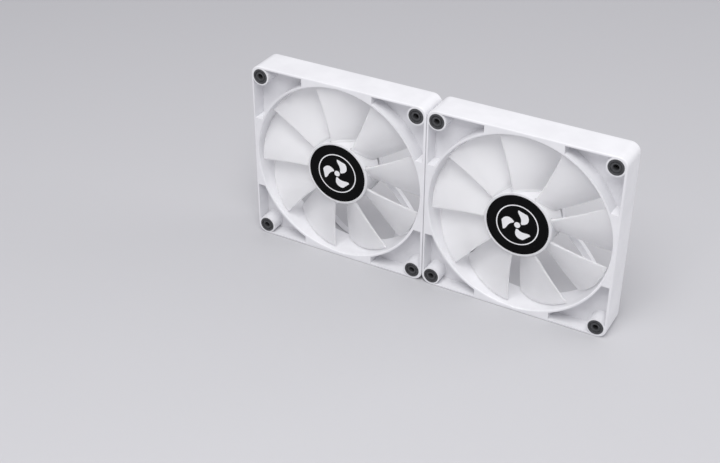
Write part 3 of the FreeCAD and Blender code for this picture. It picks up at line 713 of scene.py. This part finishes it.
# ---------------------------------------------------------------- impeller
BLADE_COUNT = 9
BLADE_FIRST_ANGLE = 4.0
HUB_RADIUS = 24.5 * MM
TIP_RADIUS = 65.5 * MM
# Polynomials in the share of the span from hub to tip, in mm: how far the two edges lie to the side
# of the blade's own line, their depth, and the blade's thickness.
BLADE_LEADING = (8.0, 15.5, 4.0)
BLADE_TRAILING = (-8.0, -11.5, 3.5)
BLADE_FRONT = (3.0, 1.4)
BLADE_BACK = (18.2, 0.6)
BLADE_THICKNESS = (2.2, -1.0)
BLADE_CAMBER = 0.075
BELLY = (1.0, 1.5, -1.8)       # polynomial in the share of the chord, of the thickness
BLADE_SEAT = 1.0 * MM          # how far the blade reaches into the hub's wall
ROOT_FILLET = 1.3 * MM
ROOT_SPREAD = 0.7              # of the fillet, that the root grows to each side
TIP_ROUND = 0.45 * MM
TIP_EDGE = 0.15                # of the thickness, that is left at the tip
ROOT_STEPS = 5
SPAN_STEPS = 26
TIP_STEPS = 4
CHORD_STEPS = 22
EDGE_STEPS = 4
RADIUS_PASSES = 12
HUB_STEPS = 128
NOSE_STEPS = 7
LABEL_CLEARANCE = 0.05 * MM
SEAT_ROUND = 0.12 * MM
NOSE_ROUND = 1.4 * MM
BACK_ROUND = 0.25 * MM
HUB_LIP = 0.4 * MM             # how far the hub reaches behind the yoke


def polynomial(curve, value):
    return sum(c * value ** power for power, c in enumerate(curve))


def section_point(x, chord, offset):
    """A point of the blade in the plane across x: chord runs from leading to trailing edge, and offset
    is (toward the camber's outside, along the chord)."""
    share = (x - HUB_RADIUS) / (TIP_RADIUS - HUB_RADIUS)
    lead = Vector((x, polynomial(BLADE_FRONT, share) * MM, polynomial(BLADE_LEADING, share) * MM))
    trail = Vector((x, polynomial(BLADE_BACK, share) * MM, polynomial(BLADE_TRAILING, share) * MM))
    along = (trail - lead).normalized()
    normal = Vector((0, along.z, -along.y))
    camber = BLADE_CAMBER * (trail - lead).length * 4 * chord * (1 - chord)
    return lead.lerp(trail, chord) + normal * (camber + offset[0]) + along * offset[1]


def at_radius(radius, chord, offset):
    """The same, but at a distance from the fan's axis."""
    x = radius
    for _ in range(RADIUS_PASSES):
        point = section_point(x, chord, offset)
        x = math.sqrt(max(radius ** 2 - point.z ** 2, 0.0))
    return section_point(x, chord, offset)


def blade_ring(radius, shrink):
    """The outline of the blade at a distance from the axis, with rounded edges."""
    share = (radius - HUB_RADIUS) / (TIP_RADIUS - HUB_RADIUS)
    half = polynomial(BLADE_THICKNESS, share) * MM / 2 * shrink
    root = max(0.0, 1.0 - (radius - HUB_RADIUS) / ROOT_FILLET)
    half += ROOT_FILLET * ROOT_SPREAD * min(root, 1.0) ** 2
    tail = half * polynomial(BELLY, 1.0)
    chords = [k / CHORD_STEPS for k in range(CHORD_STEPS + 1)]
    turns = [math.pi * k / EDGE_STEPS for k in range(1, EDGE_STEPS)]
    points = [at_radius(radius, c, (half * polynomial(BELLY, c), 0.0)) for c in chords]
    points += [at_radius(radius, 1.0, (tail * math.cos(t), tail * math.sin(t))) for t in turns]
    points += [at_radius(radius, c, (-half * polynomial(BELLY, c), 0.0)) for c in chords[::-1]]
    points += [at_radius(radius, 0.0, (-half * math.cos(t), -half * math.sin(t))) for t in turns]
    return points


def end_cap(first, sides):
    """Faces that close a flat ring of the blade's outline, from its front edge to its back."""
    half = sides // 2
    faces = []
    for k in range(half - 1):
        a, b = first + k, first + k + 1
        c, d = first + sides - 1 - (k + 1), first + sides - 1 - k
        faces.append((a, b, c, d) if b != c else (a, b, d))
    return faces


def blade_part():
    """One closed blade, from inside the hub's wall to its rounded tip."""
    stations = [(HUB_RADIUS - BLADE_SEAT, 1.0)]
    stations += [(HUB_RADIUS + ROOT_FILLET * k / ROOT_STEPS, 1.0) for k in range(ROOT_STEPS)]
    start, end = HUB_RADIUS + ROOT_FILLET, TIP_RADIUS - TIP_ROUND
    stations += [(start + (end - start) * k / SPAN_STEPS, 1.0) for k in range(SPAN_STEPS)]
    for k in range(TIP_STEPS + 1):
        angle = math.pi / 2 * k / TIP_STEPS
        stations.append((end + TIP_ROUND * math.sin(angle), max(math.cos(angle), TIP_EDGE)))
    rings = [blade_ring(radius, shrink) for radius, shrink in stations]
    sides = len(rings[0])
    vertices = [p for ring in rings for p in ring]
    caps = end_cap(0, sides) + end_cap((len(rings) - 1) * sides, sides)
    return vertices, skin(len(rings), sides) + caps


def hub_part():
    """The hub's cup: a seat for the label in front, and a plain wall with a rounded nose."""
    label_low, label_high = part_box("hub_label_left")
    yoke_low, yoke_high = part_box("rotor_yoke_left")
    seat_radius = (label_high.x - label_low.x) / 2 + LABEL_CLEARANCE
    seat_depth = label_high.y - INLET_Y
    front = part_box("impeller_left")[0].y - INLET_Y
    inside = (yoke_high.x - yoke_low.x) / 2
    plate = yoke_low.y - INLET_Y
    back = yoke_high.y - INLET_Y + HUB_LIP
    profile = rounded_profile([
        (0.0, seat_depth, 0.0),
        (seat_radius, seat_depth, 0.0),
        (seat_radius, front, SEAT_ROUND),
        (HUB_RADIUS, front, NOSE_ROUND),
        (HUB_RADIUS, back, BACK_ROUND),
        (inside, back, BACK_ROUND),
        (inside, plate, 0.0),
        (0.0, plate, 0.0),
    ], NOSE_STEPS)
    return lathe(profile, HUB_STEPS)


def make_impeller(side):
    """Nine blades and the hub; outside the hub the finish is the second one, the blades'."""
    blade = blade_part()
    step = 360.0 / BLADE_COUNT
    parts = []
    for k in range(BLADE_COUNT):
        angle = math.radians(BLADE_FIRST_ANGLE + step * k)
        parts.append(moved(blade, Matrix.Rotation(-angle, 4, "Y")))
    parts.append(hub_part())
    part = moved(joined(parts), fan_to_bank(side))
    impeller = piece(f"frosted_impeller_{side}", part, "frosted_plastic", f"rotor_{side}")
    impeller.data.materials.append(MATERIALS["frosted_blades"])
    for polygon in impeller.data.polygons:
        out = polygon.center - AXIS[side]
        polygon.material_index = int(math.hypot(out.x, out.z) > HUB_RADIUS)
    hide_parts(f"impeller_{side}")


# ---------------------------------------------------------------- printed sign
PRINT_THICKNESS = 0.02 * MM
SIGN_ANGLES = (30.0, 150.0, 270.0)
SIGN_CENTRE = 2.2 * MM
SIGN_RING = (15.4 * MM, 14.6 * MM)
PETAL_INNER, PETAL_OUTER = 3.2, 11.6      # in mm
PETAL_STEPS = 18
PETAL_SWIRL = 42.0                        # degrees from its root to its tip
# Its width in degrees: at the root, gained along a sine, and lost again near the tip.
PETAL_WIDTHS = (16.0, 44.0, 26.0)
PETAL_SINE = (0.06, 0.62, 0.5)            # of half a turn: at the root, gained to the tip, and the most
PETAL_TIP_POWER = 6
RING_STEPS = 96


def flat_shape(outline, depth):
    """A thin plate with the given (x, z) outline, standing out towards the inlet from depth."""
    count = len(outline)
    vertices = [Vector((x, depth, z)) for x, z in outline]
    vertices += [Vector((x, depth - PRINT_THICKNESS, z)) for x, z in outline]
    faces = [tuple(range(count)), tuple(range(2 * count - 1, count - 1, -1))]
    for k in range(count):
        after = (k + 1) % count
        faces.append((k, after, after + count, k + count))
    return vertices, faces


def petal(angle):
    """One blade of a plain fan sign: it widens and sweeps round as it goes out."""
    root_width, gained, lost = PETAL_WIDTHS
    first, more, most = PETAL_SINE
    lead, trail = [], []
    for k in range(PETAL_STEPS + 1):
        t = k / PETAL_STEPS
        radius = (PETAL_INNER + (PETAL_OUTER - PETAL_INNER) * t) * MM
        swirl = PETAL_SWIRL * t
        width = root_width + gained * math.sin(math.pi * min(t * more + first, most))
        width -= lost * t ** PETAL_TIP_POWER
        for points, edge in ((lead, swirl + width / 2), (trail, swirl - width / 2)):
            at = math.radians(angle + edge)
            points.append((radius * math.cos(at), radius * math.sin(at)))
    return lead + trail[::-1]


def ring_plate(outer, inner, depth):
    front = depth - PRINT_THICKNESS
    return lathe([(outer, depth), (outer, front), (inner, front), (inner, depth)], RING_STEPS)


def make_hub_print(side):
    """A plain fan sign and a thin ring printed on the hub's label."""
    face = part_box(f"hub_label_{side}")[0].y - INLET_Y
    parts = [flat_shape(petal(a), face) for a in SIGN_ANGLES]
    parts.append(ring_plate(SIGN_CENTRE, 0.0, face))
    parts.append(ring_plate(*SIGN_RING, face))
    part = moved(joined(parts), fan_to_bank(side))
    piece(f"hub_print_{side}", part, "white_plastic", f"rotor_{side}", "label_print", False)


# ---------------------------------------------------------------- corner pads
PAD_RADIUS = 5.6 * MM
PAD_HOLE = 2.15 * MM
PAD_SEAT = 1.2 * MM
PAD_PROUD = 0.4 * MM
PAD_STEPS = 64
SLEEVE_RADIUS = 3.0 * MM
SLEEVE_DEPTH = 6.5 * MM
COLLAR_RADIUS = 3.30 * MM
COLLAR_DEPTH = 0.10 * MM
GROOVE_INNER, GROOVE_OUTER = 3.45 * MM, 4.15 * MM
GROOVE_DEPTH = 0.75 * MM
RIM_RADIUS = 4.30 * MM
HOLE_ROUND = 0.30 * MM
GROOVE_ROUND = 0.10 * MM
INNER_ROUND = 0.15 * MM      # of the collar and of the rim's inner edge
OUTER_ROUND = 0.35 * MM


def pad_part(face, inward):
    """One rubber ring: rounded rim, shallow groove, a raised collar round its hole, and its sleeve."""
    profile = rounded_profile([
        (PAD_HOLE, PAD_PROUD + SLEEVE_DEPTH, 0.0),
        (PAD_HOLE, COLLAR_DEPTH, HOLE_ROUND),
        (COLLAR_RADIUS, COLLAR_DEPTH, INNER_ROUND),
        (GROOVE_INNER, GROOVE_DEPTH, GROOVE_ROUND),
        (GROOVE_OUTER, GROOVE_DEPTH, GROOVE_ROUND),
        (RIM_RADIUS, 0.0, INNER_ROUND),
        (PAD_RADIUS, 0.0, OUTER_ROUND),
        (PAD_RADIUS, PAD_PROUD + PAD_SEAT, 0.0),
        (SLEEVE_RADIUS, PAD_PROUD + PAD_SEAT, 0.0),
        (SLEEVE_RADIUS, PAD_PROUD + SLEEVE_DEPTH, 0.0),
    ])
    return lathe([(r, face + inward * y) for r, y in profile], PAD_STEPS)


def make_pads(side):
    low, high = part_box(f"front_pads_{side}")
    reach = (high.x - low.x) / 2 - PAD_RADIUS
    corners = [(sx * reach, 0, sz * reach) for sx in (-1, 1) for sz in (-1, 1)]
    for end, face, inward in (("front", -PAD_PROUD, 1.0), ("rear", DEPTH + PAD_PROUD, -1.0)):
        pad = pad_part(face, inward)
        parts = [moved(pad, Matrix.Translation(corner)) for corner in corners]
        part = moved(joined(parts), fan_to_bank(side))
        pads = piece(f"{end}_corner_pads_{side}", part, "grey_rubber", "frames")
        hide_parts(f"{end}_pads_{side}")


# ---------------------------------------------------------------- the model's own nodes
EDGE_WIDTHS = {
    "lead_plug": 0.25 * MM,
    "lead_grommet": 0.5 * MM,
    "stator_bobbin": 0.15 * MM,
    "board_parts": 0.1 * MM,
}
EDGE_SEGMENTS = 3
EDGE_ANGLE = math.radians(40)      # sharper turns than this get a rounded edge
NODE_WELD = 0.001 * MM


def dress_frame_nodes():
    """Every node of the frame gets its slot's material, and the small mouldings get rounded edges."""
    slots = {entry["node"]: entry["material_slot"] for entry in frame["record"]["subparts"]}
    for name, node in frame["nodes"].items():
        node.data.materials.clear()
        node.data.materials.append(MATERIALS[slots[name]])
        width = EDGE_WIDTHS.get(name.rsplit("_", 1)[0])
        if width:
            weld = node.modifiers.new("weld", "WELD")
            weld.merge_threshold = NODE_WELD
            bevel = node.modifiers.new("rounded edges", "BEVEL")
            bevel.width = width
            bevel.segments = EDGE_SEGMENTS
            bevel.limit_method = "ANGLE"
            bevel.angle_limit = EDGE_ANGLE
            bevel.harden_normals = True


MATERIALS = make_materials()
make_camera()
make_stage()
for fan in SIDES:
    make_lead(fan)
    make_lead_root(fan)
dress_frame_nodes()
for fan in SIDES:
    make_impeller(fan)
    make_hub_print(fan)
    make_pads(fan)
